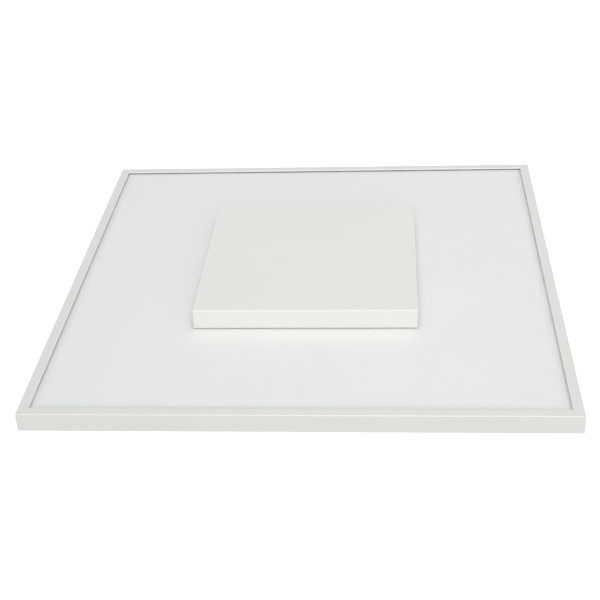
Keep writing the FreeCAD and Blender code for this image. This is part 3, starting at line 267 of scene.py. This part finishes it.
def plated(name, colour, roughness, spangle=240):
    """Zinc-plated or galvanised steel with a crystalline spangle."""
    metal = Shader(name, colour, roughness, metallic=1.0)
    metal.patchy(metal.cells(spangle), CELL_SPAN, toned(colour, 0.8))
    smear = metal.noise(700, roughness=0.6)
    metal.rough(smear, roughness - 0.08, roughness + 0.12)
    metal.bumped(smear, 0.01 * MM, strength=0.5)
    return metal.material


def drawn(name, colour, roughness, scale=(120, 120, 4200)):
    """Rolled or drawn metal with fine lines across one axis."""
    metal = Shader(name, colour, roughness, metallic=1.0)
    lines = metal.noise(1.0, roughness=0.6, place=metal.stretched(scale))
    metal.patchy(lines, NOISE_SPAN, toned(colour, 0.82), 0.5)
    metal.rough(lines, roughness - 0.08, roughness + 0.1)
    metal.bumped(lines, 0.01 * MM, strength=0.5)
    return metal.material


def rubbery(name, colour):
    """Dull rubber with a pale bloom in patches."""
    rubber = Shader(name, colour, 0.62, specular=0.3)
    bloom = rubber.noise(240, roughness=0.6)
    rubber.patchy(bloom, UPPER_SPAN, toned(colour, 1.5), 0.5)
    rubber.rough(bloom, 0.55, 0.72)
    rubber.bumped(rubber.noise(2600, detail=2, roughness=0.6), 0.02 * MM, strength=0.6)
    return rubber.material


def insulation(name, colour):
    """Extruded wire insulation: slightly glossy, with faint smudges."""
    sleeve = Shader(name, colour, 0.38)
    smudge = sleeve.noise(300, roughness=0.6)
    sleeve.patchy(smudge, UPPER_SPAN, tuple(part * 0.72 + 0.01 for part in colour), 0.5)
    sleeve.rough(smudge, 0.3, 0.48)
    sleeve.bumped(sleeve.noise(1800, detail=2), 0.015 * MM, strength=0.6)
    return sleeve.material


def clear_lens(name, colour, roughness):
    """Clear moulded acrylic with faint ripples."""
    lens = Shader(name, colour, roughness)
    lens.surface.inputs["Transmission Weight"].default_value = 0.9
    lens.surface.inputs["IOR"].default_value = 1.49
    lens.rough(lens.noise(900, detail=2), roughness - 0.02, roughness + 0.04)
    lens.bumped(lens.noise(1400, detail=2), 0.006 * MM, strength=0.4)
    return lens.material


def board_mask(name, colour, trace):
    """Solder mask over copper: faint raised tracks under a satin lacquer."""
    board = Shader(name, colour, 0.35)
    tracks = board.node("ShaderNodeTexBrick", Vector=board.place, Scale=90.0, Mortar_Size=0.05)
    pattern = tracks.outputs["Fac"]
    board.patchy(pattern, FULL_SPAN, trace, 0.35)
    board.rough(board.noise(900, detail=2), 0.3, 0.42)
    board.bumped(pattern, 0.03 * MM, strength=0.5)
    return board.material


# each finish: its maker, its colour, and the maker's further values
FINISHES = {
    "frame_paint": (powder_coat, shade((227, 227.2, 224.5)), 0.32, 0.35, True),
    "cover_paint": (powder_coat, shade((232, 232.3, 229.5)), 0.34),
    "tray_paint": (powder_coat, shade((222, 223, 222)), 0.55, 1.4),
    "opal_diffuser": (opal, shade((237, 237, 237)), 0.3),
    "zinc_steel": (plated, (0.62, 0.63, 0.65), 0.36),
    "screw_steel": (plated, (0.58, 0.59, 0.61), 0.3, 900),
    "driver_case_steel": (plated, (0.6, 0.61, 0.63), 0.38, 120),
    "spring_steel": (drawn, (0.42, 0.42, 0.44), 0.28),
    "contact_brass": (drawn, (0.75, 0.55, 0.24), 0.3, (2600, 120, 120)),
    "strip_board": (board_mask, (0.8, 0.8, 0.78), (0.62, 0.62, 0.58)),
    "circuit_board": (board_mask, (0.03, 0.16, 0.06), (0.06, 0.26, 0.1)),
    "thermal_tape": (moulded, (0.62, 0.63, 0.62), 0.7),
    "lens_plastic": (clear_lens, (0.96, 0.97, 0.98), 0.06),
    "led_phosphor": (moulded, (0.82, 0.6, 0.12), 0.45),
    "white_nylon": (moulded, (0.76, 0.76, 0.72), 0.5),
    "reflector_film": (moulded, (0.86, 0.86, 0.86), 0.6),
    "grey_rubber": (rubbery, (0.07, 0.07, 0.075)),
    "ferrite": (moulded, (0.03, 0.03, 0.032), 0.7, 3.0),
    "capacitor_sleeve": (moulded, (0.015, 0.02, 0.05), 0.28, 0.5),
    "terminal_plastic": (moulded, (0.7, 0.7, 0.65), 0.42),
    "button_plastic": (moulded, (0.75, 0.22, 0.03), 0.35),
    "wire_brown": (insulation, (0.13, 0.045, 0.018)),
    "wire_blue": (insulation, (0.02, 0.11, 0.42)),
    "wire_green": (insulation, (0.1, 0.32, 0.05)),
    "wire_red": (insulation, (0.45, 0.02, 0.015)),
    "wire_black": (insulation, (0.012, 0.012, 0.013)),
    "wire_white": (insulation, (0.78, 0.78, 0.75)),
}
MATERIALS = {name: make(name, *values) for name, (make, *values) in FINISHES.items()}


def dress_nodes():
    """Give every CAD node the material that its record slot names."""
    for entry in frame["record"]["subparts"]:
        piece = nodes[entry["node"]]
        piece.data.materials.clear()
        piece.data.materials.append(MATERIALS[entry["material_slot"]])


# ---------------------------------------------------------------- small detail pieces
WIRE_RADIUS = 1.1 * MM
# a ferrule collar's section: distance back from the wire's end and radius, in millimetres
SLEEVE_PROFILE = ((0.05, 1.15), (0.05, 1.75), (0.4, 1.95), (4.6, 1.95),
                  (5.4, 1.8), (7.2, 1.35), (7.4, 1.15))
SLEEVE_SIDES = 24

LABEL_LENGTH, LABEL_WIDTH = 86 * MM, 27 * MM
LABEL_SHIFT = -18 * MM
LABEL_THICK = 0.12 * MM
LABEL_CORNER = 2.5 * MM
CORNER_STEPS = 6
SHARPEST_CORNER = 0.1 * MM
PRINT_INSET = 2.2 * MM
PRINT_LINE = 0.7 * MM
PRINT_THICK = 0.03 * MM
PRINT_CORNER = LABEL_CORNER - PRINT_INSET / 2
FIELD_SHIFT = LABEL_LENGTH / 4.4
FIELD_LENGTH, FIELD_WIDTH = LABEL_LENGTH / 2.6, LABEL_WIDTH / 1.9
FIELD_CORNER = LABEL_CORNER / 2


def add_piece(name, build, slot, body):
    """New mesh piece made by build(bm), with a record slot's finish, riding on a body."""
    bm = bmesh.new()
    build(bm)
    bmesh.ops.recalc_face_normals(bm, faces=bm.faces)
    mesh = bpy.data.meshes.new(name)
    bm.to_mesh(mesh)
    bm.free()
    mesh.materials.append(MATERIALS[slot])
    piece = bpy.data.objects.new(name, mesh)
    bpy.context.scene.collection.objects.link(piece)
    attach(piece, body)
    return piece


def rounded_outline(centre, length, width, corner, z):
    """Corner points of a rounded rectangle, anticlockwise."""
    points = []
    for turn, (side_x, side_y) in enumerate(((1, 1), (-1, 1), (-1, -1), (1, -1))):
        middle_x = centre[0] + side_x * (length / 2 - corner)
        middle_y = centre[1] + side_y * (width / 2 - corner)
        for step in range(CORNER_STEPS + 1):
            angle = (turn + step / CORNER_STEPS) * math.pi / 2
            points.append((middle_x + corner * math.cos(angle), middle_y + corner * math.sin(angle), z))
    return points


def skin(bm, loops, closed=False):
    """Quads between following loops of equal count; an open row of loops is capped."""
    rows = [[bm.verts.new(point) for point in loop] for loop in loops]
    next_rows = rows[1:] + rows[:1] if closed else rows[1:]
    for first, second in zip(rows, next_rows):
        for index in range(len(first)):
            following = (index + 1) % len(first)
            bm.faces.new((first[index], first[following], second[following], second[index]))
    if not closed:
        bm.faces.new(rows[0])
        bm.faces.new(rows[-1])


def add_print_line(bm, centre, length, width, corner, low, high):
    """Thin printed line round a rounded rectangle, raised from level low to level high."""
    outer = (length, width, corner)
    inner = (length - 2 * PRINT_LINE, width - 2 * PRINT_LINE, max(corner - PRINT_LINE, SHARPEST_CORNER))
    section = ((outer, low), (outer, high), (inner, high), (inner, low))
    skin(bm, [rounded_outline(centre, *shape, level) for shape, level in section], closed=True)


def add_driver_label():
    """Blank film label on the driver's lid, with an empty printed frame and two empty fields."""
    low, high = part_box("driver_case_lid")
    centre = ((low[0] + high[0]) / 2 + LABEL_SHIFT, (low[1] + high[1]) / 2)
    base = high[2]
    top = base + LABEL_THICK
    print_top = top + PRINT_THICK

    def film(bm):
        skin(bm, [rounded_outline(centre, LABEL_LENGTH, LABEL_WIDTH, LABEL_CORNER, level)
                  for level in (base, top)])

    def lines(bm):
        add_print_line(bm, centre, LABEL_LENGTH - 2 * PRINT_INSET, LABEL_WIDTH - 2 * PRINT_INSET,
                       PRINT_CORNER, top, print_top)
        for side in (-1, 1):
            field = (centre[0] + side * FIELD_SHIFT, centre[1])
            add_print_line(bm, field, FIELD_LENGTH, FIELD_WIDTH, FIELD_CORNER, top, print_top)

    add_piece("driver_label", film, "reflector_film", "panel")
    add_piece("driver_label_frame", lines, "grey_rubber", "panel")


def add_wire_sleeves():
    """Ferrule collars where the three supply wires go into the terminal block."""
    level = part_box("wire_live")[0][2] + WIRE_RADIUS

    def ring(end, row, reach, radius):
        turns = (2 * math.pi * step / SLEEVE_SIDES for step in range(SLEEVE_SIDES))
        return [(end - reach * MM, row + radius * MM * math.cos(turn), level + radius * MM * math.sin(turn))
                for turn in turns]

    def collars(bm):
        for wire in ("wire_live", "wire_neutral", "wire_earth"):
            low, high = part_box(wire)
            end, row = high[0], low[1] + WIRE_RADIUS
            skin(bm, [ring(end, row, *section) for section in SLEEVE_PROFILE], closed=True)

    sleeves = add_piece("wire_sleeves", collars, "white_nylon", "panel")
    for face in sleeves.data.polygons:
        face.use_smooth = True


# ---------------------------------------------------------------- studio
CAMERA_PLACE = Vector((0.0994, -1.2617, 0.7645))
CAMERA_YAW, CAMERA_PITCH, CAMERA_ROLL = (math.radians(angle) for angle in (5.221, 31.849, -2.965))
CAMERA_LENS = 70.32
CAMERA_SENSOR = 36

FLOOR_SIZE = 60
FLOOR_DROP = 0.3 * MM
FLOOR_GLOW = 0.72
CARD_GREY = (0.5, 0.5, 0.5)
CARD_ROUGHNESS = 0.9
CARD_SPECULAR = 0.1

SKY_LEVEL = 0.819
SKY_LEAN = (-0.047, -0.113, -0.465)
GROUND_LEVEL = 0.556
HORIZON_BLEND = 0.04
WINDOW_TOWARDS = (0.15, -0.9, 0.42)
WINDOW_EDGE, WINDOW_HEART = 0.72, 0.97
WINDOW_LEVEL = 1.313

KEY_PLACE, KEY_AIM, KEY_SIZE = (0.12, -0.8, 1.3), (0, -0.2, 0), (1.2, 0.35)
KEY_WATTS = 1.45
TOP_PLACE, TOP_AIM, TOP_SIZE = (0.1, 0.1, 1.8), (0, 0, 0), (1.2, 1.2)
TOP_WATTS = 10.6

FLAG_PLACE = (-0.8, -0.6, 0.3)
FLAG_SIZE = (0.6, 1.4, 1)


def add_camera():
    """Camera held by its yaw from +Y, its pitch down and its roll."""
    forward = Vector((-math.sin(CAMERA_YAW) * math.cos(CAMERA_PITCH),
                      math.cos(CAMERA_YAW) * math.cos(CAMERA_PITCH), -math.sin(CAMERA_PITCH)))
    level = Vector((math.cos(CAMERA_YAW), math.sin(CAMERA_YAW), 0))
    upright = level.cross(forward)
    right = math.cos(CAMERA_ROLL) * level + math.sin(CAMERA_ROLL) * upright
    up = math.cos(CAMERA_ROLL) * upright - math.sin(CAMERA_ROLL) * level
    data = bpy.data.cameras.new("camera")
    data.lens = CAMERA_LENS
    data.sensor_width = CAMERA_SENSOR
    camera = bpy.data.objects.new("camera", data)
    turn = Matrix((right, up, -forward)).transposed().to_4x4()
    camera.matrix_world = Matrix.Translation(CAMERA_PLACE) @ turn
    bpy.context.scene.collection.objects.link(camera)
    bpy.context.scene.camera = camera


def card_shader(name):
    """Dull grey card, for the floor's paper and for the flag."""
    return Shader(name, CARD_GREY, CARD_ROUGHNESS, specular=CARD_SPECULAR)


def add_floor():
    """Glowing pale paper that reads as pure white.

    It neither lights nor shades the object: the world's ground lights it evenly from below.
    """
    bpy.ops.mesh.primitive_plane_add(size=FLOOR_SIZE, location=(0, 0, cad_low.z - FLOOR_DROP))
    floor = bpy.context.object
    floor.name = "floor"
    paper = card_shader("floor_paper")
    paper.surface.inputs["Emission Color"].default_value = (*WHITE, 1)
    paper.surface.inputs["Emission Strength"].default_value = FLOOR_GLOW
    floor.data.materials.append(paper.material)
    floor.visible_diffuse = False
    floor.visible_shadow = False


def add_softbox(name, place, aim, size, watts):
    light = bpy.data.lights.new(name, "AREA")
    light.shape = "RECTANGLE"
    light.size, light.size_y = size
    light.energy = watts
    light.color = WHITE
    lamp = bpy.data.objects.new(name, light)
    lamp.location = place
    lamp.rotation_euler = (Vector(aim) - Vector(place)).to_track_quat("-Z", "Y").to_euler()
    bpy.context.scene.collection.objects.link(lamp)


def add_flag():
    """Grey card on the left that takes a little light off that side; the camera doesn't see it."""
    bpy.ops.mesh.primitive_plane_add(size=1, location=FLAG_PLACE, rotation=(0, math.pi / 2, 0))
    card = bpy.context.object
    card.name = "flag"
    card.scale = FLAG_SIZE
    card.data.materials.append(card_shader("flag_felt").material)
    card.visible_camera = False


def add_world():
    """Soft white room: a dome that leans a little, a big front window in it, and a dimmer ground."""
    world = bpy.data.worlds.new("studio")
    world.use_nodes = True
    tree = world.node_tree
    direction = tree.nodes.new("ShaderNodeTexCoord").outputs["Generated"]

    def ramp_towards(towards, low, high, new_low, new_high, smooth=False):
        """Level that changes with how far a direction turns towards another."""
        dot = tree.nodes.new("ShaderNodeVectorMath")
        dot.operation = "DOT_PRODUCT"
        dot.inputs[1].default_value = towards
        tree.links.new(direction, dot.inputs[0])
        ramp = tree.nodes.new("ShaderNodeMapRange")
        ramp.interpolation_type = "SMOOTHSTEP" if smooth else "LINEAR"
        set_range(ramp, low, high, new_low, new_high)
        tree.links.new(dot.outputs["Value"], ramp.inputs["Value"])
        return ramp.outputs["Result"]

    def combined(operation, first, second):
        step = tree.nodes.new("ShaderNodeMath")
        step.operation = operation
        tree.links.new(first, step.inputs[0])
        tree.links.new(second, step.inputs[1])
        return step.outputs[0]

    lean = Vector(SKY_LEAN)
    slope = lean.length
    dome = ramp_towards(lean / slope, -1, 1, SKY_LEVEL - slope, SKY_LEVEL + slope)
    window = ramp_towards(Vector(WINDOW_TOWARDS).normalized(), WINDOW_EDGE, WINDOW_HEART,
                          0, WINDOW_LEVEL, smooth=True)
    above = ramp_towards((0, 0, 1), -HORIZON_BLEND, HORIZON_BLEND, 0, 1)
    below = ramp_towards((0, 0, 1), -HORIZON_BLEND, HORIZON_BLEND, GROUND_LEVEL, 0)
    room = combined("MULTIPLY", combined("ADD", dome, window), above)
    background = tree.nodes["Background"]
    tree.links.new(combined("ADD", room, below), background.inputs["Strength"])
    background.inputs["Color"].default_value = (*WHITE, 1)
    bpy.context.scene.world = world


def add_studio():
    view = bpy.context.scene.view_settings
    view.view_transform = "Standard"
    view.look = "None"
    add_floor()
    add_world()
    add_softbox("key", KEY_PLACE, KEY_AIM, KEY_SIZE, KEY_WATTS)
    add_softbox("top", TOP_PLACE, TOP_AIM, TOP_SIZE, TOP_WATTS)
    add_flag()
    add_camera()


dress_nodes()
add_driver_label()
add_wire_sleeves()
add_studio()
